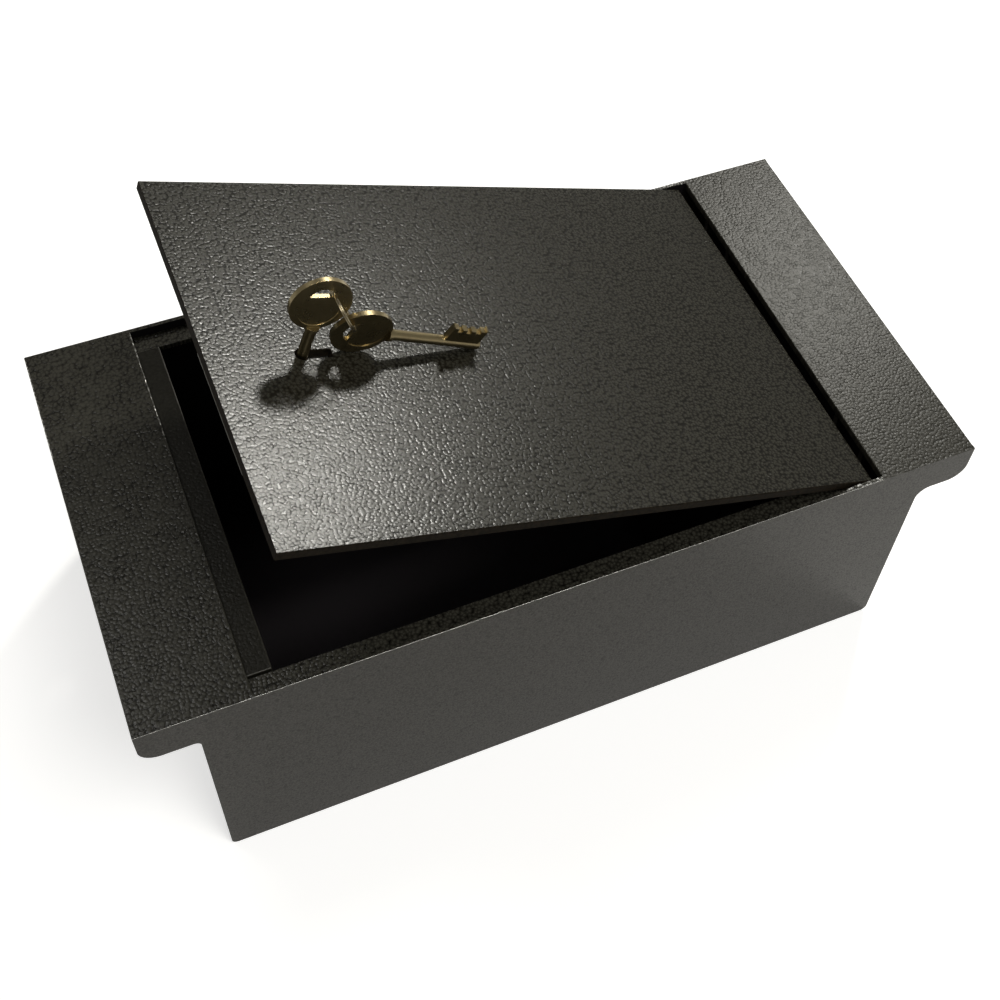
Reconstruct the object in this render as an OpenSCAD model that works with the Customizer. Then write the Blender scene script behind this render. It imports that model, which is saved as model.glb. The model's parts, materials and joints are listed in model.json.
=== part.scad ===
// Floorboard safe that hangs between two joists, with a hinged lid and a lever lock.
// The origin is at the middle of the base, +Z is up and +Y is the back.
// The lid stands open as it is drawn. Lid pieces are drawn shut and then turned open.

/* [Safe body] */
// Length over both flanges
body_l = 400; // [380:1:420]
// Length of each ear, which stands on a joist beyond the box
ear_l = 25; // [22:0.5:28]
// Depth from front to back
body_w = 210; // [205:1:230]
// Height from the base to the top of the flanges
body_h = 135; // [120:1:180]
// Depth of the ears, equal to a floorboard's thickness
ear_drop = 22; // [18:1:28]
// Thickness of the sheet walls
sheet_t = 2; // [1.5:0.1:2.5]
// Length of each flange plate
flange_l = 50; // [48:1:52]
// Thickness of the flange plates
flange_t = 4; // [3:0.1:4]
// Width of the ledge strips along the front and back
ledge_w = 9.5; // [8:0.5:12]
// Distance that the keep bar reaches past the left flange plate
keep_reach = 11; // [10:0.5:11.5]

/* [Lid] */
// Width of the groove between the lid's hinged end and the right flange plate
hinge_groove = 6.4; // [6.2:0.1:6.8]
// Gap between the lid and the front wall, and the same at the back
lid_side_gap = 1; // [0.8:0.1:4]
// Thickness of the lid plate
lid_t = 4; // [3.5:0.1:4]
// Angle at which the lid stands open
open_angle = 19.3; // [0:0.1:80]

/* [Lock] */
// Distance that the bolt travels
bolt_travel = 13.5; // [13:0.1:14]
// Width of the bolt's head
bolt_w = 36; // [30:1:40]
// Thickness of the bolt's head
bolt_t = 10; // [8:0.5:10]
// Distance from the lid's left edge to the key's axis
key_inset = 41.5; // [41:0.1:42]

/* [Keys] */
// Diameter of the bow
bow_d = 26.5; // [24:0.5:28]
// Diameter of the shaft
shaft_d = 4.8; // [4.4:0.1:4.8]
// Distance from the bow's middle to the tip
key_reach = 59.4; // [59:0.1:59.6]
// Reach of the uncut lands from the key's axis
bit_r = 11; // [10:0.1:11]
// Downward slope of the spare key
spare_dip = 10.6; // [10:0.1:11]
// Lean of the spare key towards the front
spare_roll = 9.8; // [5:0.1:12]

/* [Hidden] */
$fn = 96;

// Colours
paint = "dimgray";
brass = "#b08d4a";
steel = "silver";

// Length by which a cut starts and ends outside what it cuts
over = 1;

// Body
box_l = body_l - 2 * ear_l;
ear_r = 9;
fillet_left = 3;
fillet_right = 7;
corner_r = 3.5;
ledge_t = 3;
ledge_drop = 0.8;
keep_t = 4;
keep_gap_front = 1;
seat_gap = 0.3;
flange_z = body_h - flange_t;
ledge_z = flange_z - ledge_drop;
keep_z = flange_z - seat_gap;
keep_edge = -body_l / 2 + flange_l + keep_reach;
inner_w = body_w - 2 * sheet_t;
fix_hole_r = 3.5;
fix_hole_z = 70;
fix_hole_pitch = 100;

// Lid and hinge
lid_gap = 0.9;
lid_left = -body_l / 2 + flange_l + lid_gap;
lid_right = body_l / 2 - flange_l - hinge_groove;
lid_l = lid_right - lid_left;
lid_w = inner_w - 2 * lid_side_gap;
lid_bottom = body_h - lid_t;
hinge_inset = 6.2;
hinge_drop = 8;
hinge_x = lid_right - hinge_inset;
hinge_z = body_h - hinge_drop;
pin_r = 2;
pin_play = 0.05;
knuckle_r = 3.6;
lug_l = 20;
lug_foot_l = 14;
lug_foot_t = 2;
hinge_y = 70;

// The ledges stop here, so that the lid's tail can swing down past them
ledge_right = hinge_x + 1.5;

// Cheeks of the hinge brackets, which pass under the tail's swing
cheek_t = 3;
cheek_gap = 0.4;
swing_r = 10.6;
cheek_nose_w = 6.5;
cheek_nose_left = 5;
cheek_arm_t = 9;
cheek_foot_w = 14;
cheek_wall_gap = 5;

// Lock, measured from the key's axis at the lid's underside
key_x = lid_left + key_inset;
key_y = -5;
case_left = -28.4;
case_l = 76;
case_w = 68;
case_t = 2;
case_depth = 27;
foot_reach = 9;
foot_w = case_w + 2 * foot_reach;
stud_r = 2.5;
stud_l = 8;
stud_x = [-20, 38];
stud_y = case_w / 2 + foot_reach / 2;
nut_d = 9;
nut_t = 4;
stud_play = 0.1;
pillar = 7;
screw_r = 1.25;
screw_inset = 5.5;
screw_l = 9;
screw_hole_l = 10;
screw_head_r = 2.4;
screw_head_t = 1.6;
screw_slot_w = 0.7;
screw_slot_t = 0.8;
window_play = 0.3;
disc_r = 25;
disc_t = 2.4;
disc_z = -case_t - 0.3;
spigot_r = 12.6;
turning_play = 0.08;
barrel_r = 4.4;
barrel_recess = 0.4;
barrel_play = 0.2;
drum_gap = 0.3;
half_turn = 180;
scroll_r = 7.5;
follower_r = 1.7;
follower_gap = 0.2;
groove_play = 0.2;
plate_z = -5;
plate_t = 2;
plate_rim = 4.5;
plate_left = -10.5;
plate_right = 43.6;
head_back = -11.8;
head_l = 18.4;
opening_r = barrel_r + 0.4;
end_pin_r = 2.75;
end_pin_l = 13.6;
end_pin_y = 7.5;
end_pin_sunk = 0.4;
lever_w = 14.5;
lever_hub_r = 7;
spring_room = 5;
lever_top = case_w / 2 - case_t - spring_room;
lever_low = lever_top - lever_w;
post = [24, lever_top - lever_hub_r];
plate_w = 2 * (post[1] + plate_rim);
post_r = 3;
post_collar_r = 5;
post_collar_t = 2.5;
post_collar_gap = 0.5;
boss_r = 6;
slide_play = 0.1;
stump = 4;
stump_drop = 8;
stump_at = [9, lever_top - stump_drop];
gate_play = 0.2;
pocket_l = stump + 1;
pocket_w = 9;

// Key bit and levers, from the bow side to the tip
cuts = [10.6, 8.4, 10.0, 8.2, 9.8, 8.6, 10.2];
lever_t = 1.9;
lever_pitch = 2.35;
lever_z = -7.6;
lever_play = 0.25;
lever_left = -11.2;
belly_l = 18;
belly_low = 7.5;
belly_joint = 1;
belly_top = lever_low + belly_joint;
spring_r = 14;
spring_t = 0.5;
spring_x = -4;
boss_gap = 0.3;
lever_end = lever_z - (len(cuts) - 1) * lever_pitch - lever_t;
bit_z = -7.3;
bit_l = 17.5;
bit_t = 3;
bit_slot = 3.4;
bit_end_play = 0.8;

// Keys
bow_t = 2.2;
bow_rise = 26.2;
bow_z = key_reach - bow_rise;
slot_base = 4.1;
slot_mid = 2;
slot_r = 6.3;
recess_r = 9;
recess_low = 2.4;
recess_depth = 0.3;
neck_r = 3.1;
neck_l = 1.6;
shaft_sunk = 0.6;
ring_wire_r = 0.55;
ring_coil = 1;
ring_y = -0.7;
hook = [4, 5.25];
spare_hook = [3.3, 5.9];
spare_bow = [21.9, lid_t + 13.6];
spare_y = -1.4;

// Turns the lid's pieces from shut to open about the hinge
module opened() {
    translate([hinge_x, 0, hinge_z])
        rotate([0, open_angle, 0])
            translate([-hinge_x, 0, -hinge_z])
                children();
}

// Places the lock's pieces under the lid, about the key's axis
module in_lock() {
    opened()
        translate([key_x, key_y, lid_bottom])
            children();
}

// Stands an outline drawn in X and Z upright, with its thickness towards the back
module upright(y, t) {
    translate([0, y + t, 0])
        rotate([90, 0, 0])
            linear_extrude(t)
                children();
}

module round_square(x0, y0, x1, y1, r) {
    translate([x0 + r, y0])
        square([x1 - x0 - 2 * r, y1 - y0]);
    translate([x0, y0 + r])
        square([x1 - x0, y1 - y0 - 2 * r]);
    for (x = [x0 + r, x1 - r], y = [y0 + r, y1 - r])
        translate([x, y])
            circle(r);
}

// Fills the inner corner between an ear and the box
module fillet(x, side, r) {
    z = body_h - ear_drop;
    difference() {
        translate([min(x, x + side * r), z - r])
            square([r, r]);
        translate([x + side * r, z - r])
            circle(r);
    }
}

module wall_outline() {
    top = body_h - ear_drop;
    difference() {
        round_square(-body_l / 2, top, body_l / 2, body_h + 2 * ear_r, ear_r);
        translate([-body_l / 2, body_h])
            square([body_l, 2 * ear_r]);
    }
    difference() {
        round_square(-box_l / 2, 0, box_l / 2, body_h, corner_r);
        translate([-box_l / 2, top + corner_r])
            square([box_l, ear_drop]);
    }
    fillet(-box_l / 2, -1, fillet_left);
    fillet(box_l / 2, 1, fillet_right);
}

module front_wall() {
    color(paint)
        upright(-body_w / 2, sheet_t)
            wall_outline();
}

module back_wall() {
    color(paint)
        upright(body_w / 2 - sheet_t, sheet_t)
            wall_outline();
}

// Base and end walls, bent from one sheet, with holes for screws into the joists
module box_wrap() {
    color(paint)
        difference() {
            upright(-inner_w / 2, inner_w)
                difference() {
                    round_square(-box_l / 2, 0, box_l / 2, body_h, corner_r);
                    round_square(-box_l / 2 + sheet_t, sheet_t, box_l / 2 - sheet_t,
                        body_h + corner_r, corner_r - sheet_t);
                    translate([-box_l / 2, flange_z])
                        square([box_l, flange_t + over]);
                }
            for (y = [-fix_hole_pitch / 2, fix_hole_pitch / 2])
                translate([-box_l, y, fix_hole_z])
                    rotate([0, 90, 0])
                        cylinder(h = 2 * box_l, r = fix_hole_r);
        }
}

module left_flange_plate() {
    color(paint)
        translate([-body_l / 2, -inner_w / 2, flange_z])
            cube([flange_l, inner_w, flange_t]);
}

module right_flange_plate() {
    color(paint)
        translate([body_l / 2 - flange_l, -inner_w / 2, flange_z])
            cube([flange_l, inner_w, flange_t]);
}

module ledge(y) {
    left = -box_l / 2 + sheet_t;
    color(paint)
        translate([left, y, ledge_z - ledge_t])
            cube([ledge_right - left, ledge_w, ledge_t]);
}

module front_ledge() {
    ledge(-inner_w / 2);
}

module back_ledge() {
    ledge(inner_w / 2 - ledge_w);
}

// Flat bar across the left end that the bolt goes under
module keep_bar() {
    x = -box_l / 2 + sheet_t;
    y = -inner_w / 2 + ledge_w + keep_gap_front;
    color(paint)
        translate([x, y, keep_z - keep_t])
            cube([keep_edge - x, inner_w - 2 * ledge_w - keep_gap_front, keep_t]);
}

// Outline of one cheek: it drops from the flange, passes under the lid's edge and rises to the pin
module cheek_outline() {
    low = hinge_z - swing_r - cheek_arm_t;
    left = hinge_x - cheek_nose_left;
    right = box_l / 2 - sheet_t - cheek_wall_gap;
    difference() {
        union() {
            translate([hinge_x, hinge_z])
                circle(knuckle_r);
            translate([left, low])
                square([cheek_nose_w, hinge_z - low]);
            translate([left, low])
                square([right - left, cheek_arm_t]);
            translate([right - cheek_foot_w, low])
                square([cheek_foot_w, flange_z - low]);
        }
        translate([hinge_x, hinge_z])
            circle(pin_r);
    }
}

// Two welded brackets, each with a pair of cheeks
module hinge_brackets() {
    color(paint)
        for (y = [-hinge_y, hinge_y], side = [-1, 1])
            upright(y + side * (lug_l / 2 + cheek_gap + cheek_t / 2) - cheek_t / 2, cheek_t)
                cheek_outline();
}

module hinge_pins() {
    length = lug_l + 2 * cheek_gap + 2 * cheek_t;
    color(steel)
        for (y = [-hinge_y, hinge_y])
            translate([hinge_x, y + length / 2, hinge_z])
                rotate([90, 0, 0])
                    cylinder(h = length, r = pin_r);
}

// Round hole with a slot towards the hinge, as deep as the given height
module keyhole(depth) {
    hole_r = 3;
    slot_l = 12.9;
    slot_w = 4.2;
    translate([0, 0, -depth / 2]) {
        cylinder(h = depth, r = hole_r);
        translate([0, -slot_w / 2, 0])
            cube([slot_l, slot_w, depth]);
    }
}

module lid_plate() {
    color(paint)
        opened()
            difference() {
                translate([lid_left, -lid_w / 2, lid_bottom])
                    cube([lid_l, lid_w, lid_t]);
                translate([key_x, key_y, body_h])
                    keyhole(4 * lid_t);
            }
}

// Lugs under the lid that turn on the hinge pins
module hinge_lugs() {
    color(paint)
        opened()
            for (y = [-hinge_y, hinge_y])
                upright(y - lug_l / 2, lug_l)
                    difference() {
                        union() {
                            translate([hinge_x, hinge_z])
                                circle(knuckle_r);
                            translate([hinge_x - knuckle_r, hinge_z])
                                square([2 * knuckle_r, lid_bottom - hinge_z]);
                            translate([hinge_x - lug_foot_l, lid_bottom - lug_foot_t])
                                square([lug_foot_l, lug_foot_t]);
                        }
                        translate([hinge_x, hinge_z])
                            circle(pin_r + pin_play);
                    }
}

// Repeats its children at the case's four corner pillars
module at_pillars() {
    for (x = [case_left + screw_inset, case_left + case_l - screw_inset])
        for (y = [-case_w / 2 + screw_inset, case_w / 2 - screw_inset])
            translate([x, y, 0])
                children();
}

module at_studs() {
    for (x = stud_x, y = [-stud_y, stud_y])
        translate([x, y, 0])
            children();
}

// Tray that hangs under the lid, with a foot for the studs and a window for the bolt
module lock_case() {
    color(steel)
        in_lock()
            difference() {
                union() {
                    translate([case_left, -foot_w / 2, -case_t])
                        cube([case_l, foot_w, case_t]);
                    difference() {
                        translate([case_left, -case_w / 2, -case_depth])
                            cube([case_l, case_w, case_depth]);
                        translate([case_left + case_t, -case_w / 2 + case_t, -case_depth - over])
                            cube([case_l - 2 * case_t, case_w - 2 * case_t, case_depth + over - case_t]);
                    }
                    at_pillars()
                        translate([-pillar / 2, -pillar / 2, -case_depth])
                            cube([pillar, pillar, case_depth - case_t]);
                }
                translate([case_left - over, -bolt_w / 2 - window_play, plate_z - bolt_t - window_play])
                    cube([case_t + 2 * over, bolt_w + 2 * window_play, bolt_t + 2 * window_play]);
                translate([0, 0, -2 * case_t])
                    cylinder(h = 3 * case_t, r = spigot_r + turning_play);
                at_studs()
                    translate([0, 0, -2 * case_t])
                        cylinder(h = 3 * case_t, r = stud_r + stud_play);
                at_pillars()
                    translate([0, 0, -case_depth - over])
                        cylinder(h = screw_hole_l, r = screw_r);
            }
}

// Plate that closes the case from below, with a boss that holds the levers up
module lock_cover() {
    boss_top = lever_end - boss_gap;
    color(steel)
        in_lock()
            difference() {
                union() {
                    translate([case_left, -case_w / 2, -case_depth - case_t])
                        cube([case_l, case_w, case_t]);
                    translate([post[0], post[1], -case_depth])
                        cylinder(h = boss_top + case_depth, r = boss_r);
                }
                translate([post[0], post[1], -case_depth - case_t - over])
                    cylinder(h = case_depth, r = post_r);
                translate([0, 0, -case_depth - case_t - over])
                    cylinder(h = 2 * case_t, r = barrel_r + turning_play);
                at_pillars()
                    translate([0, 0, -case_depth - case_t - over])
                        cylinder(h = 2 * case_t, r = screw_r);
            }
}

module cover_screws() {
    color(steel)
        in_lock()
            at_pillars()
                translate([0, 0, -case_depth - case_t - screw_head_t])
                    difference() {
                        union() {
                            cylinder(h = screw_head_t + screw_l, r = screw_r);
                            cylinder(h = screw_head_t, r = screw_head_r);
                        }
                        translate([-screw_head_r - over, -screw_slot_w / 2, -over])
                            cube([2 * (screw_head_r + over), screw_slot_w, over + screw_slot_t]);
                    }
}

module lock_studs() {
    color(steel)
        in_lock()
            at_studs()
                translate([0, 0, -stud_l])
                    cylinder(h = stud_l, r = stud_r);
}

module lock_nuts() {
    color(steel)
        in_lock()
            at_studs()
                translate([0, 0, -case_t - nut_t])
                    difference() {
                        cylinder(h = nut_t, d = nut_d, $fn = 6);
                        translate([0, 0, -over])
                            cylinder(h = nut_t + 2 * over, r = stud_r);
                    }
}

// Gate that the bolt's stump slides through, with a pocket at each end
module gate_outline() {
    half = stump / 2 + gate_play;
    left = stump_at[0] - bolt_travel;
    translate([left - half, stump_at[1] - half])
        square([bolt_travel + 2 * half, 2 * half]);
    for (x = [left - half, stump_at[0] + half - pocket_l])
        translate([x, stump_at[1] - pocket_w / 2])
            square([pocket_l, pocket_w]);
}

// Lever, held at the height at which the key lifts it: its belly follows its own cut of the key
module lever(i) {
    color(brass)
        in_lock()
            translate([0, 0, lever_z - i * lever_pitch - lever_t])
                linear_extrude(lever_t)
                    difference() {
                        union() {
                            translate(post)
                                circle(lever_hub_r);
                            translate([lever_left, lever_low])
                                square([post[0] - lever_left, lever_top - lever_low]);
                            translate([-belly_l / 2, belly_low])
                                square([belly_l, belly_top - belly_low]);
                        }
                        gate_outline();
                        circle(cuts[i] + lever_play);
                        translate(post)
                            circle(post_r + pin_play);
                    }
}

module lever_1() {
    lever(0);
}

module lever_2() {
    lever(1);
}

module lever_3() {
    lever(2);
}

module lever_4() {
    lever(3);
}

module lever_5() {
    lever(4);
}

module lever_6() {
    lever(5);
}

module lever_7() {
    lever(6);
}

module lever_post() {
    color(steel)
        in_lock()
            translate([post[0], post[1], -case_depth - case_t])
                cylinder(h = case_depth, r = post_r);
}

module guide_post() {
    color(steel)
        in_lock()
            translate([post[0], -post[1], plate_z - plate_t - post_collar_gap - post_collar_t]) {
                cylinder(h = post_collar_t + post_collar_gap + plate_t - plate_z - case_t, r = post_r);
                cylinder(h = post_collar_t, r = post_collar_r);
            }
}

// Leaf springs that press each lever down, from the lever's top edge to the case wall
module lever_springs() {
    wall = case_w / 2 - case_t;
    color(steel)
        in_lock()
            for (i = [0 : len(cuts) - 1])
                translate([spring_x, wall - spring_r, lever_z - i * lever_pitch - lever_t * 3 / 4])
                    linear_extrude(lever_t / 2)
                        intersection() {
                            difference() {
                                circle(spring_r);
                                circle(spring_r - spring_t);
                            }
                            translate([0, lever_top - wall + spring_r])
                                square([spring_r, spring_r]);
                        }
}

// Slot in the bolt plate for a post, as long as the bolt's travel
module post_slot(y) {
    r = post_r + slide_play;
    for (x = [post[0], post[0] + bolt_travel])
        translate([x, y])
            circle(r);
    translate([post[0], y - r])
        square([bolt_travel, 2 * r]);
}

// Head that goes under the keep bar, plate with slots, stump for the gates, follower for the groove
module bolt() {
    color(brass)
        in_lock()
            difference() {
                union() {
                    translate([head_back - head_l, -bolt_w / 2, plate_z - bolt_t])
                        cube([head_l, bolt_w, bolt_t]);
                    translate([head_back - over, -bolt_w / 2, plate_z - plate_t])
                        cube([plate_left - head_back + 2 * over, bolt_w, plate_t]);
                    translate([plate_left, -plate_w / 2, plate_z - plate_t])
                        cube([plate_right - plate_left, plate_w, plate_t]);
                    translate([stump_at[0] - stump / 2, stump_at[1] - stump / 2, lever_end])
                        cube([stump, stump, plate_z - lever_end]);
                    translate([-scroll_r, 0, plate_z - plate_t])
                        cylinder(h = disc_z - follower_gap - plate_z + plate_t, r = follower_r);
                }
                translate([0, 0, plate_z - plate_t - over])
                    linear_extrude(plate_t + 2 * over)
                        bolt_slots();
                end_pin_cylinders(-over);
            }
}

// Slots for the drum's barrel and for both posts, with the follower's root left standing
module bolt_slots() {
    difference() {
        union() {
            translate([0, -opening_r])
                square([bolt_travel, 2 * opening_r]);
            for (x = [0, bolt_travel])
                translate([x, 0])
                    circle(opening_r);
            post_slot(post[1]);
            post_slot(-post[1]);
        }
        translate([-scroll_r, 0])
            circle(follower_r);
    }
}

// Pair of cylinders in the bolt's end face, which start this far inside it
module end_pin_cylinders(start) {
    for (y = [-end_pin_y, end_pin_y])
        translate([head_back - head_l + start, y, plate_z - bolt_t / 2])
            rotate([0, 90, 0])
                cylinder(h = end_pin_sunk + end_pin_l - start, r = end_pin_r);
}

module bolt_pins() {
    color(steel)
        in_lock()
            end_pin_cylinders(end_pin_sunk);
}

// Point of the groove where the bolt is t of its way: on its middle at side 0, on its walls at 1 and -1
function scroll_point(t, side) =
    let (
        middle = scroll_r + bolt_travel * t,
        per_radian = bolt_travel / (half_turn * PI / 180),
        half_width = (follower_r + groove_play) * norm([middle, per_radian]) / middle,
        r = middle + side * half_width,
        a = 180 + half_turn * t
    )
    [r * cos(a), r * sin(a)];

// Spiral groove whose radius grows evenly with the angle, so the bolt moves in step with the key
module scroll_groove() {
    steps = 36;
    polygon(concat(
        [for (i = [0 : steps]) scroll_point(i / steps, 1)],
        [for (i = [steps : -1 : 0]) scroll_point(i / steps, -1)]
    ));
    for (t = [0, 1])
        translate(scroll_point(t, 0))
            circle(follower_r + groove_play);
}

// Drum that the bit turns: a spigot in the case, a grooved disc and a slotted barrel
module key_drum() {
    barrel_end = -case_depth - case_t + barrel_recess;
    color(steel)
        in_lock()
            difference() {
                union() {
                    translate([0, 0, disc_z])
                        cylinder(h = -drum_gap - disc_z, r = spigot_r);
                    translate([0, 0, disc_z - disc_t])
                        linear_extrude(disc_t)
                            difference() {
                                circle(disc_r);
                                scroll_groove();
                            }
                    translate([0, 0, barrel_end])
                        cylinder(h = disc_z - disc_t - barrel_end, r = barrel_r);
                }
                translate([0, 0, barrel_end - over])
                    cylinder(h = -barrel_end + 2 * over, r = shaft_d / 2 + barrel_play);
                translate([-bit_r - bit_end_play, -bit_slot / 2, barrel_end - over])
                    cube([bit_r + bit_end_play, bit_slot, -barrel_end + 2 * over]);
            }
}

// Bow of a key in X and Y, with its slot on the +Y side
module bow_outline() {
    difference() {
        circle(bow_d / 2);
        intersection() {
            translate([0, slot_mid])
                circle(slot_r);
            translate([-slot_r, slot_base])
                square([2 * slot_r, slot_r]);
        }
    }
}

// Lands and cuts of the bit, towards -X, with the bow side at the top
module bit_outline() {
    first = lever_z - lever_t / 2 - lever_pitch / 2;
    difference() {
        translate([-bit_r, bit_z - bit_l])
            square([bit_r, bit_l]);
        for (i = [0 : len(cuts) - 1])
            translate([-bit_r - over, first - i * lever_pitch])
                square([bit_r + over - cuts[i], lever_pitch]);
    }
}

// Key about its own axis, with zero height where the lid's underside is
module key_shape() {
    shaft_top = bow_z - bow_d / 2 + shaft_sunk;
    translate([0, bow_t / 2, bow_z])
        rotate([90, 0, 0])
            difference() {
                linear_extrude(bow_t)
                    bow_outline();
                for (z = [-over, bow_t - recess_depth])
                    translate([0, -recess_low, z])
                        linear_extrude(over + recess_depth)
                            difference() {
                                circle(recess_r);
                                translate([-recess_r, slot_base + 1])
                                    square(2 * recess_r);
                            }
            }
    translate([0, 0, shaft_top - neck_l])
        cylinder(h = neck_l, r = neck_r);
    translate([0, 0, bow_z - key_reach])
        cylinder(h = shaft_top - bow_z + key_reach, r = shaft_d / 2);
    translate([0, bit_t / 2, 0])
        rotate([90, 0, 0])
            linear_extrude(bit_t)
                bit_outline();
}

module key() {
    color(brass)
        in_lock()
            key_shape();
}

// Turns a direction in X and Z downwards by an angle
function along(v, a) = [v[0] * cos(a) + v[1] * sin(a), -v[0] * sin(a) + v[1] * cos(a)];

// Points in X and Z at which the ring passes through each bow
key_hook = [hook[0], bow_z + hook[1]];
spare_at = spare_bow + along([-spare_hook[1], spare_hook[0]], spare_dip);
ring_mid = (key_hook + spare_at) / 2;
ring_r = norm(key_hook - spare_at) / 2;
ring_tilt = atan2(key_hook[1] - spare_at[1], key_hook[0] - spare_at[0]);

// Split ring through both slots, in two coils that touch
module key_ring() {
    color(steel)
        in_lock()
            translate([ring_mid[0], ring_y, ring_mid[1]])
                rotate([0, -ring_tilt, 0])
                    rotate_extrude()
                        for (z = [-ring_coil / 2, ring_coil / 2])
                            translate([ring_r, z])
                                circle(ring_wire_r, $fn = 32);
}

// Spare key that leans on the lid, with its bit up
module spare_key() {
    color(brass)
        in_lock()
            translate([spare_bow[0], spare_y, spare_bow[1]])
                rotate([0, spare_dip, 0])
                    rotate([spare_roll, 0, 0])
                        rotate([0, -90, 0])
                            translate([0, 0, -bow_z])
                                mirror([1, 0, 0])
                                    key_shape();
}

front_wall();
back_wall();
box_wrap();
left_flange_plate();
right_flange_plate();
front_ledge();
back_ledge();
keep_bar();
hinge_brackets();
hinge_pins();
lid_plate();
hinge_lugs();
lock_case();
lock_cover();
cover_screws();
lock_studs();
lock_nuts();
lever_1();
lever_2();
lever_3();
lever_4();
lever_5();
lever_6();
lever_7();
lever_post();
guide_post();
lever_springs();
bolt();
bolt_pins();
key_drum();
key();
key_ring();
spare_key();
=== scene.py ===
# %% [markdown]
# # A floorboard safe in hammered paint
# The safe hangs between two floor joists. Its lid lies level with the floorboards and locks with a lever
# key. This lesson takes the measured model as a fixed frame, then dresses each piece: it softens the edges
# that a press and a file would have softened, and gives each metal and each coat of paint its own surface.

import json
from math import cos, radians, sin

import bmesh
import bpy
import numpy as np
from mathutils import Matrix, Vector

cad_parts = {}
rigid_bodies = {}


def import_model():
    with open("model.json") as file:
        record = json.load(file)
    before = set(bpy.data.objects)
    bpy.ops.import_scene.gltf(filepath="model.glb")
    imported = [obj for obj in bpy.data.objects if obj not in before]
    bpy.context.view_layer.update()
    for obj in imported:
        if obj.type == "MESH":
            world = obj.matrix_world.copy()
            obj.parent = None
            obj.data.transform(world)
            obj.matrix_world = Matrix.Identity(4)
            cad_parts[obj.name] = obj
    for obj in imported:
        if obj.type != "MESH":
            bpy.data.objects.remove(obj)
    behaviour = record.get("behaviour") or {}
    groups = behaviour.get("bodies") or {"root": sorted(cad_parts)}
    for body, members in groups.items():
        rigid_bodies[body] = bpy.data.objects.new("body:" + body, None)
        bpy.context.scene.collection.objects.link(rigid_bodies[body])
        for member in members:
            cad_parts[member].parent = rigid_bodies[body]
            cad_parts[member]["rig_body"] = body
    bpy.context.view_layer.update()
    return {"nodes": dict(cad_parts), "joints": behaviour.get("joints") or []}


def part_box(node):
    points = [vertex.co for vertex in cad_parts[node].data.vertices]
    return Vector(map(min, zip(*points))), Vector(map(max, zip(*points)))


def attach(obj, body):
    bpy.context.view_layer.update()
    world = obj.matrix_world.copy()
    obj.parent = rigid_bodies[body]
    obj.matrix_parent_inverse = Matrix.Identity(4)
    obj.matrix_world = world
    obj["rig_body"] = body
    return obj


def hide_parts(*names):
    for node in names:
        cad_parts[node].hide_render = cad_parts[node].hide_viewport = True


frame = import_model()
MM = 0.001
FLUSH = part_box("front_wall")[1].z
print("nodes in the frame:", len(frame["nodes"]))

# %% [markdown]
# The camera stands in front of the safe, a little to its left, and looks down on the lid. It was placed by
# matching the corners of the box with the picture. The lens came out a little longer than a normal one, and
# the picture's middle sits beside the lens's own middle. That offset is the camera's shift.

# %% Camera
CAMERA_AT = Vector((-0.17345, -0.38847, 0.68346))
TURN = radians(27.24)
DIP = radians(53.30)
ROLL = radians(5.07)
SENSOR_MM = 36
LENS_MM = 52.84
LENS_SHIFT = (-0.0461, -0.0656)


def camera_axes():
    """Right, up and back directions of the camera."""
    ahead = Vector((sin(TURN) * cos(DIP), cos(TURN) * cos(DIP), -sin(DIP)))
    level = Vector((cos(TURN), -sin(TURN), 0))
    above = level.cross(ahead)
    right = level * cos(ROLL) + above * sin(ROLL)
    up = above * cos(ROLL) - level * sin(ROLL)
    return right, up, -ahead


def add_camera():
    lens = bpy.data.cameras.new("photo_camera")
    lens.sensor_width = SENSOR_MM
    lens.lens = LENS_MM
    lens.shift_x, lens.shift_y = LENS_SHIFT
    camera = bpy.data.objects.new("photo_camera", lens)
    camera.matrix_world = Matrix.Translation(CAMERA_AT) @ Matrix(camera_axes()).transposed().to_4x4()
    bpy.context.scene.collection.objects.link(camera)
    bpy.context.scene.camera = camera
    return camera


camera = add_camera()
print("camera at", tuple(round(v, 3) for v in camera.location))

# %% [markdown]
# A finish is a small network of nodes. Written as wires with plus and times signs, it reads like the sum it
# is. A wire holds one output socket, and each sign adds one Math node.


# %% Wires between nodes
class Wire:
    """One output socket, on which sums and products add Math nodes."""

    def __init__(self, tree, socket):
        self.tree = tree
        self.socket = socket

    def maths(self, operation, *values):
        return add_node(self.tree, "ShaderNodeMath", {"operation": operation}, dict(enumerate(values)))[0]

    def __add__(self, other):
        return self.maths("ADD", self, other)

    def __radd__(self, other):
        return self.maths("ADD", other, self)

    def __sub__(self, other):
        return self.maths("SUBTRACT", self, other)

    def __rsub__(self, other):
        return self.maths("SUBTRACT", other, self)

    def __mul__(self, other):
        return self.maths("MULTIPLY", self, other)

    def __rmul__(self, other):
        return self.maths("MULTIPLY", other, self)

    def at_least(self, other):
        return self.maths("MAXIMUM", self, other)

    def clamped(self):
        return self.maths("MINIMUM", self.maths("MAXIMUM", self, 0.0), 1.0)


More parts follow.
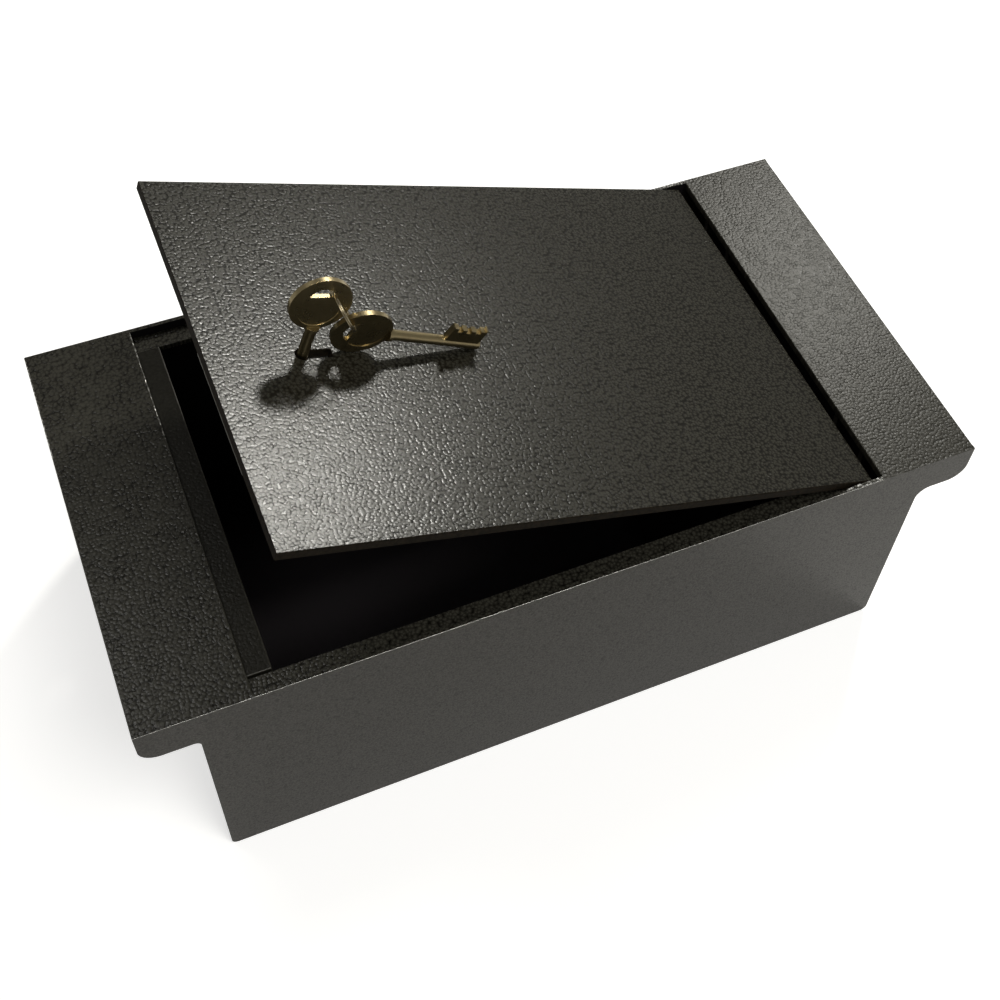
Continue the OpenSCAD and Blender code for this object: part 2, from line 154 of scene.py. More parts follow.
def add_node(tree, kind, settings=None, sockets=None):
    """Adds a node, sets it up, joins or fills its sockets, and returns its usable outputs as wires.

    A list of wires goes to a socket that takes several.
    """
    node = tree.nodes.new(kind)
    for key, value in (settings or {}).items():
        if key == "stops":
            ramp = node.color_ramp.elements
            while len(ramp) < len(value):
                ramp.new(0.5)
            for stop, (place, colour) in zip(ramp, value):
                stop.position = place
                stop.color = (*colour, 1)
        else:
            setattr(node, key, value)
    for key, value in (sockets or {}).items():
        if isinstance(value, (Wire, list)):
            for wire in value if isinstance(value, list) else [value]:
                tree.links.new(wire.socket, node.inputs[key])
        else:
            node.inputs[key].default_value = value
    return [Wire(tree, socket) for socket in node.outputs if socket.enabled]


def outputs_by_name(tree, kind):
    """Adds a node and returns its outputs under their names."""
    return {wire.socket.name: wire for wire in add_node(tree, kind)}


def mixed(tree, share, first, second):
    """Blends two colours by a share from 0 to 1."""
    sockets = {"Factor": share, 6: first, 7: second}
    return add_node(tree, "ShaderNodeMix", {"data_type": "RGBA"}, sockets)[0]


def noise(tree, place, scale, detail, roughness=0.5):
    """Soft clouds, first as a value and then as a colour."""
    sockets = {"Vector": place, "Scale": scale, "Detail": detail, "Roughness": roughness}
    return add_node(tree, "ShaderNodeTexNoise", {}, sockets)


# %% [markdown]
# Studio light is plain here: a pale floor and a pale sky, one soft key lamp behind the safe on its right, a
# broad weak fill from the front and a weak lamp overhead. The key's mirror image makes the sheen on the lid.
# The sky is white to the camera alone, and dim for everything else, so that dark paint stays dark. The floor
# glows a little for the camera, which lifts it to white, and still takes the shadow.


# %% Sky and floor
WHITE = (1, 1, 1, 1)
SKY_STOPS = [
    (0.0, (0.7, 0.69, 0.65)),
    (0.15, (0.25, 0.245, 0.225)),
    (0.6, (0.18, 0.176, 0.162)),
    (1.0, (0.16, 0.156, 0.148)),
]
FLOOR_HALF = 5.0
PAPER = (0.8, 0.8, 0.8, 1)
SEEN_GLOW = 0.6
MIRRORED_GLOW = 0.15


def seen_rays(tree):
    """Two wires: 1 for rays from the camera, and 1 for rays from polished surfaces or through glass."""
    ray = outputs_by_name(tree, "ShaderNodeLightPath")
    return ray["Is Camera Ray"], ray["Is Glossy Ray"].at_least(ray["Is Transmission Ray"])


def make_sky():
    sky = bpy.data.worlds.new("sky")
    sky.use_nodes = True
    tree = sky.node_tree
    tree.nodes.clear()
    direction = add_node(tree, "ShaderNodeTexCoord")[0]
    height = add_node(tree, "ShaderNodeSeparateXYZ", {}, {0: direction})[2]
    shade = add_node(tree, "ShaderNodeValToRGB", {"stops": SKY_STOPS}, {0: height})[0]
    colour = mixed(tree, seen_rays(tree)[0], shade, WHITE)
    light = add_node(tree, "ShaderNodeBackground", {}, {"Color": colour, "Strength": 1.0})[0]
    add_node(tree, "ShaderNodeOutputWorld", {}, {"Surface": light})
    bpy.context.scene.world = sky


def make_floor():
    corners = [(x * FLOOR_HALF, y * FLOOR_HALF, 0) for x, y in ((-1, -1), (1, -1), (1, 1), (-1, 1))]
    mesh = bpy.data.meshes.new("studio_floor")
    mesh.from_pydata(corners, [], [(0, 1, 2, 3)])
    floor = bpy.data.objects.new("studio_floor", mesh)
    bpy.context.scene.collection.objects.link(floor)
    paper = bpy.data.materials.new("studio_paper")
    paper.use_nodes = True
    tree = paper.node_tree
    tree.nodes.clear()
    dull = add_node(tree, "ShaderNodeBsdfDiffuse", {}, {"Color": PAPER})[0]
    seen, mirrored = seen_rays(tree)
    strength = seen * SEEN_GLOW + mirrored * MIRRORED_GLOW
    glow = add_node(tree, "ShaderNodeEmission", {}, {"Strength": strength})[0]
    both = add_node(tree, "ShaderNodeAddShader", {}, {0: dull, 1: glow})[0]
    add_node(tree, "ShaderNodeOutputMaterial", {}, {"Surface": both})
    mesh.materials.append(paper)


make_sky()
make_floor()
print("sky and floor made")


# %% Lamps
LAMPS_AIM = Vector((-0.03, 0, 0.16))
WARM = (1.0, 0.98, 0.91)
NEARLY_WHITE = (1.0, 0.985, 0.94)


def add_lamp(name, direction, distance, size, power, colour):
    """Round soft lamp that shines on the middle of the lid."""
    lamp = bpy.data.lights.new(name, "AREA")
    lamp.shape = "DISK"
    lamp.size = size
    lamp.energy = power
    lamp.color = colour
    place = bpy.data.objects.new(name, lamp)
    place.location = LAMPS_AIM + Vector(direction).normalized() * distance
    place.rotation_euler = Vector(direction).to_track_quat("Z", "Y").to_euler()
    bpy.context.scene.collection.objects.link(place)


add_lamp("key_lamp", (0.532, 0.512, 0.675), 1.9, 0.25, 18, WARM)
add_lamp("fill_lamp", (0.17, -0.5, 0.85), 1.8, 0.8, 14, NEARLY_WHITE)
add_lamp("top_lamp", (-0.3, 0.35, 0.9), 1.7, 0.5, 3.5, NEARLY_WHITE)
print("lamps made")

# %% [markdown]
# Hammered paint is a dark coat that pulls itself into pebbles as it dries, with thin valleys between them.
# A Voronoi pattern has just such cells. Its points are first pushed about by a noise, so that no cell is a
# regular one, and the cells are then used three times: as relief, as a darker colour towards the valleys,
# which is painted shade, and as a smoother skin in the valleys, which throws less light aside and so keeps
# them dark next to the sheen. The gloss of the big sheets lies in the paint itself, so it follows the relief
# and breaks up into beads of light.


# %% Start and end of a finish
def new_finish(name):
    material = bpy.data.materials.new(name)
    material.use_nodes = True
    material.node_tree.nodes.clear()
    return material, material.node_tree


def finish_off(tree, sockets):
    """Puts the shader and the output at the end of a finish."""
    shader = add_node(tree, "ShaderNodeBsdfPrincipled", {}, sockets)[0]
    add_node(tree, "ShaderNodeOutputMaterial", {}, {"Surface": shader})


# %% Pebbles
# Scales are in waves or cells to a pebble, and the push is in pebbles.
PUSH = 0.5
PUSH_SCALE = 0.7
CRACK_SCALE = 0.45
CRACK_SHARPNESS = 7.0


def pebbles(tree, place, pebble, plan):
    """Distance from a pebble's middle, the pebble's own number, and the lines where paint can crack."""
    drift = noise(tree, place, PUSH_SCALE / pebble, 2.0)[1]
    push = {0: drift, 1: (PUSH * pebble,) * 3, 2: place}
    bent = add_node(tree, "ShaderNodeVectorMath", {"operation": "MULTIPLY_ADD"}, push)[0]
    cells = {"Vector": bent, "Scale": 1 / pebble}
    middle, shade = add_node(tree, "ShaderNodeTexVoronoi", {"feature": "F1", **plan}, cells)[:2]
    own = add_node(tree, "ShaderNodeSeparateColor", {}, {0: shade})[0]
    wide = {"Vector": bent, "Scale": CRACK_SCALE / pebble}
    border = add_node(tree, "ShaderNodeTexVoronoi", {"feature": "DISTANCE_TO_EDGE", **plan}, wide)[0]
    return middle, own, (1 - border * CRACK_SHARPNESS).clamped()


# %% Hammered paint
PAINT = (0.0390, 0.0372, 0.0292)
# Painted shade: the dark colour that the valleys between the pebbles take.
VALLEY = (0.0055, 0.0050, 0.0036)
# Heights are in domes. A tone is 0 for the plain paint and 1 for the darkest, at the bottom of a valley,
# where the dark colour is painted shade.
DOME_FALL = 1.9
VALLEY_TONE = 2.2
VALLEY_FROM = 0.9
OWN_TONE = 0.6
EVEN_TONE = 0.4
HILL_SCALE = 1.3
HILL_HEIGHT = 3.0
HILL_TONE = 3.2
RIPPLE_SCALE = 3.0
RIPPLE_HEIGHT = 0.06
RIPPLE_ROUGHNESS = 0.08
CRACK_HEIGHT = 0.8
FLOCK_SCALE = 0.1
FLOCK_TONE = 0.1
TOP_ROUGHER = 0.045
VALLEY_SMOOTHER = 0.06


def hammered_paint(name, pebble, relief, gloss=0.3, depth=0.8, shine=0.13, lacquer=1.26, cracks=0.0,
                   peel=0.0, light=PAINT, dark=VALLEY, flat=False):
    """Dark coat drawn up into domes, with cracks that come and go in flocks.

    Lacquer is the refraction of a clear and even film over the tops, and 1 leaves the film out. Peel is the
    share of plain close hills, as on an orange's skin, that take the place of the domes. On a flat sheet that
    faces up, the domes are laid out on the sheet's plan, so that every one of them has its top.
    """
    plan = {"voronoi_dimensions": "2D"} if flat else {}
    material, tree = new_finish(name)
    place = add_node(tree, "ShaderNodeTexCoord")[3]
    middle, own, line = pebbles(tree, place, pebble, plan)
    ripple = noise(tree, place, RIPPLE_SCALE / pebble, 2.0)[0]
    hill = noise(tree, place, HILL_SCALE / pebble, 1.0)[0]
    flock = (noise(tree, place, FLOCK_SCALE / pebble, 3.0, 0.6)[0] * 4.0 - 1.6).clamped()
    crack = line * flock * cracks
    dome = (1 - middle * middle * DOME_FALL).at_least(0.0)
    tops = dome * (own + 0.5) * (1 - peel) + hill * (HILL_HEIGHT * peel)
    height = tops + ripple * RIPPLE_HEIGHT - crack * CRACK_HEIGHT
    # Painted shade: the colour darkens towards each pebble's edge and on the low sides of the hills. The
    # pebble's own number adds a tone that differs at random.
    valley = middle * VALLEY_TONE - VALLEY_FROM + own * OWN_TONE - OWN_TONE / 2
    hollow = valley * (1 - peel) + (0.5 - hill) * (HILL_TONE * peel)
    tone = (EVEN_TONE + hollow * depth + crack + flock * cracks * FLOCK_TONE).clamped()
    rough = gloss + TOP_ROUGHER - tone * VALLEY_SMOOTHER + ripple * RIPPLE_ROUGHNESS
    bump = add_node(tree, "ShaderNodeBump", {}, {"Strength": 1.0, "Distance": relief, "Height": height})[0]
    finish_off(tree, {
        "Base Color": mixed(tree, tone, (*light, 1), (*dark, 1)),
        "Roughness": rough.clamped(),
        "Normal": bump,
        "Specular IOR Level": shine,
        "Coat Weight": (1.05 - tone * 1.1).clamped(),
        "Coat Roughness": gloss,
        "Coat IOR": lacquer,
    })
    return material


# %% [markdown]
# The same recipe serves each sheet. Sprayed paint lies thickest on what faces the gun, so the flat tops have
# full pebbles and the walls only a fine grain, and the cut edges took a thin matt coat. The faces inside the
# box are painted near black and matt, as painted shade for the inside that little light reaches. Each top has
# its own size of pebble, relief and gloss, as in the picture, and only the left plate has cracks.

# %% Coats of the sheets
LID_COAT = (0.0290, 0.0277, 0.0212)
# Painted shade: the keep bar lies under the lid, so its coat is made darker than the plates beside it.
BAR_PAINTED_SHADE = (0.018, 0.017, 0.013)
WALL_COAT = (0.056, 0.051, 0.042)
BROWN = (0.0180, 0.0135, 0.0090)
# Painted shade: the near-black colour of the faces inside the box, where little light reaches.
INSIDE_SHADE_COLOUR = (0.0105, 0.0092, 0.0104)
LID_PAINT = hammered_paint(
    "lid_paint", 1.5 * MM, 0.06 * MM, gloss=0.205, depth=1.0, shine=0.27, lacquer=1.0, peel=0.2,
    light=LID_COAT, flat=True)
LEFT_PAINT = hammered_paint(
    "left_plate_paint", 1.7 * MM, 0.11 * MM, gloss=0.22, depth=0.6, shine=0.27, lacquer=1.0, cracks=0.6,
    peel=0.3, flat=True)
LEDGE_PAINT = hammered_paint(
    "ledge_paint", 1.6 * MM, 0.14 * MM, gloss=0.2, depth=0.8, shine=0.29, lacquer=1.0, peel=0.25, flat=True)
RIGHT_PAINT = hammered_paint(
    "right_plate_paint", 1.5 * MM, 0.075 * MM, gloss=0.26, depth=0.4, shine=0.13, lacquer=1.0, peel=0.2,
    flat=True)
# The keep bar's darker coat is painted shade from the lid above it.
BAR_PAINT = hammered_paint(
    "keep_bar_paint", 1.6 * MM, 0.1 * MM, gloss=0.24, depth=0.4, lacquer=1.16, peel=0.5, light=BAR_PAINTED_SHADE,
    flat=True)
WALL_PAINT = hammered_paint(
    "wall_paint", 0.8 * MM, 0.01 * MM, gloss=0.3, depth=0.3, shine=0.14, lacquer=1.21, light=WALL_COAT)
EDGE_PAINT = hammered_paint(
    "lid_edge_paint", 1.5 * MM, 0.02 * MM, gloss=0.5, depth=0.5, shine=0.02, lacquer=1.01, light=BROWN)
# Painted shade: near-black matt paint for the inside of the box.
PAINTED_INSIDE_SHADE = hammered_paint(
    "painted_shade_inside", 1.5 * MM, 0.02 * MM, gloss=0.7, depth=0.5, shine=0.03, lacquer=1.01, light=INSIDE_SHADE_COLOUR,
    dark=INSIDE_SHADE_COLOUR)
print("paints made")

# %% [markdown]
# Hands and floorboards rub the paint off the upper edges, until bare steel shows there in beads. A bevel can
# give the faces that it cuts a material of their own, so the wear is a finish for those rims alone. It fades
# out just below the top. On the seam beside the keep bar the bare beads start only behind the line where the
# lid's shadow from the key lamp ends, so they follow the light: they glint in the lit back part, and the
# shaded front part stays a dark line.

# %% Worn edges
BARE_STEEL = (0.95, 0.94, 0.90)
BEAD = 1.6 * MM
WORN_DEPTH = 1.5 * MM
WORN_FADES_OVER = 0.5 * MM
WORN_TO_X = 150 * MM
# Where the lid's shadow from the key lamp ends on the seam; the worn beads are kept behind it, so they follow
# the light.
LID_SHADOW_ENDS_Y = 35 * MM


def worn_edge(name, wear, behind=-1.0):
    """Paint rubbed thin on an upper edge, so that bare steel shows in beads behind a given Y; on the seam
    that Y is where the lid's shadow ends, so the beads follow the light.
    """
    material, tree = new_finish(name)
    place = add_node(tree, "ShaderNodeTexCoord")[3]
    right, back, up = add_node(tree, "ShaderNodeSeparateXYZ", {}, {0: place})
    beads = noise(tree, place, 1 / BEAD, 2.0)[0]
    fade = 1 / WORN_FADES_OVER
    near_top = (up * fade - fade * (FLUSH - WORN_DEPTH)).clamped()
    reach = near_top * right.maths("LESS_THAN", right, WORN_TO_X) * back.maths("GREATER_THAN", back, behind)
    bare = (beads * 4.0 - 2.0 + wear).clamped() * reach
    finish_off(tree, {
        "Base Color": mixed(tree, bare, (*PAINT, 1), (*BARE_STEEL, 1)),
        "Roughness": 0.34,
        "Metallic": bare,
        "Specular IOR Level": 0.4,
    })
    return material


WORN_EDGE = worn_edge("worn_edge", 2.6)
# On the seam the worn beads lie only where the key lamp reaches past the lid.
SEAM_EDGE = worn_edge("seam_edge", 0.0, LID_SHADOW_ENDS_Y)
print("worn edges reach down to", round((FLUSH - WORN_DEPTH) / MM, 1), "mm")

# %% [markdown]
# Bare metals differ in colour, in gloss and in the marks of their making. Brass keys are tumbled, so they
# carry fine scratches in all directions and a thin brown tarnish. Zinc plate is a dull grey with a faint
# cloud, and turned steel is bright and even. One recipe with a fine and a broad noise makes all of these.


# %% Bare metals
SCRATCH = 0.003 * MM
CLOUD_SCALE = 0.12


def bare_metal(name, colour, tarnish, gloss, grain=0.5 * MM):
    """Handled metal, with fine scratches everywhere and a tarnish that comes and goes in clouds."""
    material, tree = new_finish(name)
    place = add_node(tree, "ShaderNodeTexCoord")[3]
    fine = noise(tree, place, 1 / grain, 4.0)[0]
    cloud = noise(tree, place, CLOUD_SCALE / grain, 4.0, 0.6)[0]
    stain = (cloud * 2.2 - 0.75).clamped()
    bump = add_node(tree, "ShaderNodeBump", {}, {"Strength": 1.0, "Distance": SCRATCH, "Height": fine})[0]
    finish_off(tree, {
        "Base Color": mixed(tree, stain, (*colour, 1), (*tarnish, 1)),
        "Roughness": (gloss + stain * 0.12 + fine * 0.1 - 0.05).clamped(),
        "Metallic": 1.0,
        "Normal": bump,
    })
    return material


KEY_BRASS = bare_metal("key_brass", (0.37, 0.305, 0.175), (0.28, 0.225, 0.125), 0.26)
KEY_RIM = bare_metal("key_rim_brass", (0.90, 0.72, 0.38), (0.74, 0.56, 0.28), 0.16)
LOCK_BRASS = bare_metal("lock_brass", (0.60, 0.46, 0.22), (0.45, 0.33, 0.16), 0.34)
ZINC = bare_metal("zinc_plate", (0.50, 0.50, 0.47), (0.36, 0.36, 0.34), 0.38, grain=1.2 * MM)
STEEL = bare_metal("turned_steel", (0.62, 0.61, 0.59), (0.46, 0.45, 0.43), 0.26)
RING_STEEL = bare_metal("ring_steel", (0.52, 0.45, 0.30), (0.36, 0.30, 0.20), 0.16, grain=0.3 * MM)
print("metals made")

# %% [markdown]
# The measured model has knife-sharp edges, and no real edge is sharp: paint rounds it and a file breaks it.
# A bevel catches the light as such an edge does. The model's mesh is loose triangles, so a copy is merged
# and its flat faces joined first. Where two sheets are welded and painted over there is no edge to see, so
# those edges are left out, and a weight on each edge tells the bevel which ones to cut.


# %% Softened copies of the model's pieces
SEWN_WITHIN = 0.002 * MM
FLAT_WITHIN = radians(0.5)
SHARP_FROM = radians(30)
SMOOTH_TO = radians(35)


def merged_copy(node):
    """Mesh of a node with its triangles sewn together and its flat faces joined."""
    shape = bmesh.new()
    shape.from_mesh(frame["nodes"][node].data)
    bmesh.ops.remove_doubles(shape, verts=shape.verts, dist=SEWN_WITHIN)
    bmesh.ops.dissolve_limit(shape, angle_limit=FLAT_WITHIN, verts=shape.verts, edges=shape.edges)
    return shape


def cut_across(shape, places):
    """Adds an edge all round at each of these X, so that parts of a long edge can be treated apart."""
    for x in places:
        everything = [*shape.verts, *shape.edges, *shape.faces]
        bmesh.ops.bisect_plane(shape, geom=everything, plane_co=(x, 0, 0), plane_no=(1, 0, 0))


def link_mesh(name, shape, material):
    mesh = bpy.data.meshes.new(name)
    shape.to_mesh(mesh)
    shape.free()
    mesh.shade_smooth()
    mesh.set_sharp_from_angle(angle=SMOOTH_TO)
    mesh.materials.append(material)
    piece = bpy.data.objects.new(name, mesh)
    bpy.context.scene.collection.objects.link(piece)
    return piece


def settle(piece, node):
    """Lets a piece stand for a node and move with its body."""
    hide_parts(node)
    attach(piece, frame["nodes"][node]["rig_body"])
    return piece


def softened(node, material, edge, steps=2, welded=None, cuts=(), rim=None):
    """Copy of a node with rounded edges, apart from those that the test named welded picks out."""
    shape = merged_copy(node)
    cut_across(shape, cuts)
    weight = shape.edges.layers.float.new("bevel_weight_edge")
    for side in shape.edges:
        if not side.is_manifold or side.calc_face_angle(0) < SHARP_FROM:
            continue
        middle = (side.verts[0].co + side.verts[1].co) / 2
        if welded is None or not welded(middle):
            side[weight] = 1
    piece = link_mesh(node + "_finished", shape, material)
    bevel = piece.modifiers.new("soft_edges", "BEVEL")
    bevel.limit_method = "WEIGHT"
    bevel.width = edge
    bevel.segments = steps
    bevel.harden_normals = True
    if rim:
        piece.data.materials.append(rim)
        bevel.material = 1
    return settle(piece, node)


# %% [markdown]
# The box is two flat walls, one at the front and one at the back, with a strip of the same sheet bent round
# between them as base and ends. The flange plates lie between the walls, level with their top edges. All
# these seams are welded, ground and painted, so the edges along them are left alone, and only the outer
# edges and the free ends and undersides of the ears are softened.

# %% Box and flange plates
SEAM_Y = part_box("left_flange_plate")[1].y
FLANGE_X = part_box("left_flange_plate")[1].x
EAR_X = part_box("box_wrap")[0].x
CLOSE = 0.05 * MM


def on_seam(point):
    return abs(abs(point.y) - SEAM_Y) < CLOSE


def wall_weld(point):
    """True on a wall's inner edges, apart from the ends and undersides of its ears."""
    return on_seam(point) and abs(point.x) <= abs(EAR_X) + CLOSE


def inside_box(face):
    """True for a face that looks into the box; these faces get a near-black matt colour that is painted
    shade.
    """
    within = abs(face.center.x) < abs(EAR_X) - CLOSE and abs(face.center.y) < SEAM_Y + CLOSE
    return within and MM < face.center.z < FLUSH - CLOSE


def on_top(face):
    return face.center.z > FLUSH - CLOSE


def repaint(piece, material, chosen):
    """Gives another finish to the faces that a test picks out."""
    if material.name not in piece.data.materials:
        piece.data.materials.append(material)
    for face in piece.data.polygons:
        if chosen(face):
            face.material_index = piece.data.materials.find(material.name)


MOUTH_ENDS = (FLANGE_X, -FLANGE_X)
for node in ("front_wall", "back_wall"):
    wall = softened(node, WALL_PAINT, 0.95 * MM, 5, wall_weld, MOUTH_ENDS, WORN_EDGE)
    # Faces inside the box get the near-black painted shade.
    repaint(wall, PAINTED_INSIDE_SHADE, inside_box)
    repaint(wall, LEFT_PAINT, lambda face: on_top(face) and face.center.x < FLANGE_X)
    repaint(wall, LEDGE_PAINT, lambda face: on_top(face) and abs(face.center.x) < abs(FLANGE_X))
    repaint(wall, RIGHT_PAINT, lambda face: on_top(face) and face.center.x > -FLANGE_X)
wrap = softened("box_wrap", WALL_PAINT, 0.4 * MM, 2, on_seam)
# Faces inside the box get the near-black painted shade.
repaint(wrap, PAINTED_INSIDE_SHADE, inside_box)
softened("left_flange_plate", LEFT_PAINT, 0.5 * MM, 4, on_seam, rim=SEAM_EDGE)
softened("right_flange_plate", RIGHT_PAINT, 0.5 * MM, 3, on_seam)
for node in ("front_ledge", "back_ledge"):
    softened(node, LEDGE_PAINT, 0.4 * MM, 2, on_seam)
softened("keep_bar", BAR_PAINT, 0.5 * MM, 4, rim=SEAM_EDGE)
softened("hinge_brackets", WALL_PAINT, 0.4 * MM)
softened("hinge_pins", STEEL, 0.3 * MM)
print("box dressed")

# %% [markdown]
# The lid is one thick plate with cleanly cut edges. Its rim took only a thin brown coat, so the rim's faces
# are picked out and painted apart, and the bevel carries that coat round the upper edge. The edges below stay
# as the guillotine cut them. The lugs are welded under the hinged end and turn on the pins.

# %% Lid
hinge = next(joint for joint in frame["joints"] if joint["name"] == "lid_hinge")
OPEN_BY = radians(-hinge["range_deg"][0])
UNDER_LID = 3 * MM
END_BAND = 4 * MM
THROUGH_LID = Vector((sin(OPEN_BY), 0, cos(OPEN_BY)))
LID_TOP = Vector((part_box("lid_plate")[0].x, 0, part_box("lid_plate")[1].z))


def is_side(face):
    """True for a face on the lid's rim."""
    return abs(face.normal.dot(THROUGH_LID)) < 0.5


def is_lower(point):
    """True on the lid's underside, where the edges are left as the guillotine cut them."""
    return (point - LID_TOP).dot(THROUGH_LID) < -UNDER_LID


lid = softened("lid_plate", LID_PAINT, 0.7 * MM, 3, is_lower, rim=EDGE_PAINT)
repaint(lid, EDGE_PAINT, is_side)
softened("hinge_lugs", LID_PAINT, 0.3 * MM)
print("lid dressed")

# %% [markdown]
# The lock is a zinc-plated case with a cover, brass levers and a brass bolt with two steel pins in its end.
# These shapes come straight from the model. They only need broken edges and metal that looks handled. The
# case's front was sprayed together with the lid's edge above it.

# %% Lock
ALONG_LID = Vector((cos(OPEN_BY), 0, -sin(OPEN_BY)))
LEVERS = 7


def at_lid_end(face):
    """True for a face level with the lid's free end."""
    return (face.center - LID_TOP).dot(ALONG_LID) < END_BAND


for node in ("lock_case", "lock_cover"):
    piece = softened(node, ZINC, 0.3 * MM)
    repaint(piece, EDGE_PAINT, at_lid_end)
for number in range(1, LEVERS + 1):
    softened(f"lever_{number}", LOCK_BRASS, 0.15 * MM, 1)
softened("bolt", LOCK_BRASS, 0.35 * MM)
for node in ("cover_screws", "lever_post", "guide_post", "bolt_pins", "key_drum", "lock_studs", "lock_nuts"):
    softened(node, STEEL, 0.15 * MM, 1)
softened("lever_springs", STEEL, 0.08 * MM, 1)
print("lock dressed")

# %% [markdown]
# The keys are brass castings: a round bow with a slot for the ring, a neck collar, a turned shaft and a bit
# with seven cuts. Tumbling has rounded the bow's rim, which is why it shines brightly where it faces up.

# %% Keys
for node in ("key", "spare_key"):
    softened(node, KEY_BRASS, 0.32 * MM, 3, rim=KEY_RIM)
print("keys dressed")

# %% [markdown]
# A split ring is a wire wound twice round, with its ends lying against the coil. Geometry Nodes has a
# spiral that winds it exactly, and a round section carried along it makes the wire. The model has two plain
# rings side by side instead, and the coil's middle, axis and radius are measured on them. It stays within
# them, so it has the same room in both slots when it swings.


# %% Split ring
COIL_TURNS = 1.96
COIL_STEPS = 64
WIRE_SIDES = 20
COIL_HALF_WIDTH = 1.22
THINNER = 0.6


def ring_measures():
    """Middle, axis, radius and radius of the wire of the model's two rings."""
    points = np.array([v.co for v in frame["nodes"]["key_ring"].data.vertices])
    middle = (points.max(axis=0) + points.min(axis=0)) / 2
    directions = np.linalg.svd(points - middle, full_matrices=False)[2]
    axis = Vector(directions[2])
    flat = (points - middle) @ directions[:2].T
    reach = np.linalg.norm(flat, axis=1)
    return Vector(middle), axis, (reach.max() + reach.min()) / 2, (reach.max() - reach.min()) / 2


def add_input(tree, name, kind):
    return tree.interface.new_socket(name=name, in_out="INPUT", socket_type="NodeSocket" + kind).identifier


def wire_coil_tree():
    tree = bpy.data.node_groups.new("wire_coil", "GeometryNodeTree")
    tree.interface.new_socket(name="Geometry", in_out="OUTPUT", socket_type="NodeSocketGeometry")
    names = {name: add_input(tree, name, kind) for name, kind in (
        ("Radius", "Float"), ("Turns", "Float"), ("Rise", "Float"), ("Wire", "Float"),
        ("Finish", "Material"))}
    size = outputs_by_name(tree, "NodeGroupInput")
    coil = add_node(tree, "GeometryNodeCurveSpiral", {}, {
        "Resolution": COIL_STEPS, "Rotations": size["Turns"], "Start Radius": size["Radius"],
        "End Radius": size["Radius"], "Height": size["Rise"]})[0]
    round_section = {"Resolution": WIRE_SIDES, "Radius": size["Wire"]}
    section = add_node(tree, "GeometryNodeCurvePrimitiveCircle", {}, round_section)[0]
    carried = {"Curve": coil, "Profile Curve": section, "Fill Caps": True}
    wire = add_node(tree, "GeometryNodeCurveToMesh", {}, carried)[0]
    painted = add_node(tree, "GeometryNodeSetMaterial", {}, {"Geometry": wire, "Material": size["Finish"]})[0]
    solid = add_node(tree, "GeometryNodeRealizeInstances", {}, {"Geometry": painted})[0]
    add_node(tree, "NodeGroupOutput", {}, {"Geometry": solid})
    return tree, names


def grown(name, tree, values, place=None):
    """Plain mesh object that a tree of geometry nodes makes with these values."""
    seed = bpy.data.objects.new(name, bpy.data.meshes.new(name))
    bpy.context.scene.collection.objects.link(seed)
    maker = seed.modifiers.new("maker", "NODES")
    maker.node_group = tree
    for socket, value in values.items():
        maker[socket] = value
    evaluated = seed.evaluated_get(bpy.context.evaluated_depsgraph_get())
    mesh = bpy.data.meshes.new_from_object(evaluated)
    seed.modifiers.remove(maker)
    if place is not None:
        mesh.transform(place)
    seed.data = mesh
    mesh.shade_smooth()
    mesh.set_sharp_from_angle(angle=SMOOTH_TO)
    return seed


def add_split_ring():
    middle, axis, radius, wire = ring_measures()
    tree, names = wire_coil_tree()
    rise = COIL_HALF_WIDTH * wire
    place = Matrix.Translation(middle) @ axis.to_track_quat("Z", "X").to_matrix().to_4x4()
    place = place @ Matrix.Translation((0, 0, -rise))
    values = {names["Radius"]: float(radius), names["Turns"]: COIL_TURNS, names["Rise"]: float(2 * rise),
              names["Wire"]: float(THINNER * wire), names["Finish"]: RING_STEEL}
    ring = grown("split_ring", tree, values, place)
    print("ring radius in mm:", round(radius / MM, 2), "wire radius:", round(wire / MM, 2))
    return settle(ring, "key_ring")


add_split_ring()

# %% [markdown]
# Under each flange plate, a fillet weld runs along the end wall. A weld is a row of small frozen ripples, so
# one ripple is laid again and again along a line, each a little larger or smaller than the last. Geometry
# Nodes repeats it, and its inputs hold the line's place and the ripple's size.


# %% Welds under the flanges
RIPPLE = 1.6 * MM
RIPPLE_STEP = 1.3 * MM
RIPPLE_FACES = 80
RIPPLE_SIZES = {2: 0.85, 3: 1.15, "Seed": 4}
WELD_STOPS_SHORT = 4 * MM


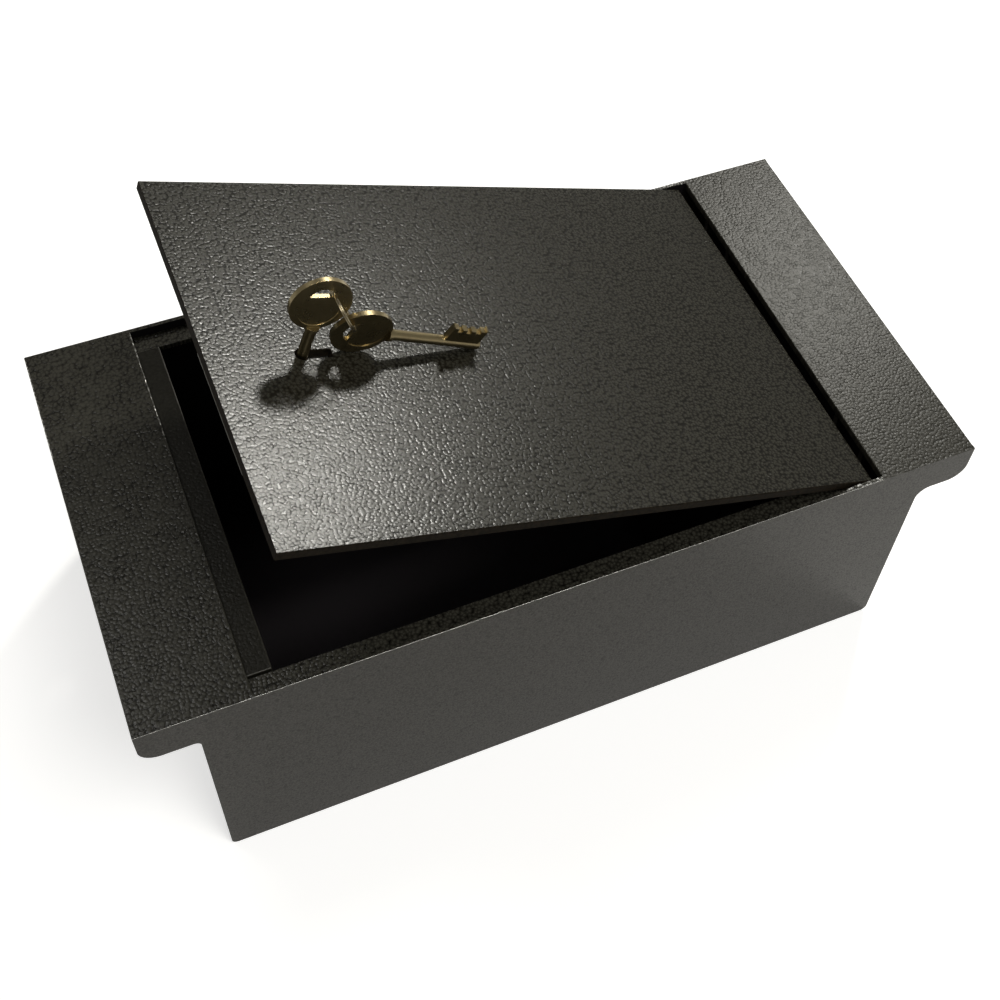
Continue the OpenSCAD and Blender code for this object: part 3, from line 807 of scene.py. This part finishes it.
def weld_line(tree, size, side):
    """Straight line under the flange on one side, -1 for the left and 1 for the right."""
    ends = [add_node(tree, "ShaderNodeCombineXYZ", {}, {
        0: size["Reach"] * side, 1: size["Half length"] * end, 2: size["Height"]})[0] for end in (-1, 1)]
    return add_node(tree, "GeometryNodeCurvePrimitiveLine", {}, {"Start": ends[0], "End": ends[1]})[0]


def weld_tree():
    tree = bpy.data.node_groups.new("weld", "GeometryNodeTree")
    tree.interface.new_socket(name="Geometry", in_out="OUTPUT", socket_type="NodeSocketGeometry")
    names = {name: add_input(tree, name, kind) for name, kind in (
        ("Reach", "Float"), ("Half length", "Float"), ("Height", "Float"), ("Step", "Float"),
        ("Ripple", "Float"), ("Finish", "Material"))}
    size = outputs_by_name(tree, "NodeGroupInput")
    lines = [weld_line(tree, size, side) for side in (-1, 1)]
    both = add_node(tree, "GeometryNodeJoinGeometry", {}, {0: lines})[0]
    row = {"Curve": both, "Length": size["Step"]}
    spots = add_node(tree, "GeometryNodeCurveToPoints", {"mode": "LENGTH"}, row)[0]
    ball = add_node(tree, "GeometryNodeMeshIcoSphere", {}, {"Radius": size["Ripple"], "Subdivisions": 2})[0]
    grow = add_node(tree, "FunctionNodeRandomValue", {"data_type": "FLOAT"}, RIPPLE_SIZES)[0]
    each = {"Points": spots, "Instance": ball, "Scale": grow}
    laid = add_node(tree, "GeometryNodeInstanceOnPoints", {}, each)[0]
    solid = add_node(tree, "GeometryNodeRealizeInstances", {}, {"Geometry": laid})[0]
    coat = {"Geometry": solid, "Material": size["Finish"]}
    painted = add_node(tree, "GeometryNodeSetMaterial", {}, coat)[0]
    add_node(tree, "NodeGroupOutput", {}, {"Geometry": painted})
    return tree, names


def add_welds():
    tree, names = weld_tree()
    plate_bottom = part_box("right_flange_plate")[0].z
    values = {"Reach": abs(EAR_X), "Half length": SEAM_Y - WELD_STOPS_SHORT, "Height": plate_bottom,
              "Step": RIPPLE_STEP, "Ripple": RIPPLE, "Finish": WALL_PAINT}
    welds = grown("flange_welds", tree, {names[name]: value for name, value in values.items()})
    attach(welds, "safe")
    print("weld ripples:", len(welds.data.polygons) // RIPPLE_FACES)


add_welds()

# %% View transform
bpy.context.scene.view_settings.view_transform = "Standard"
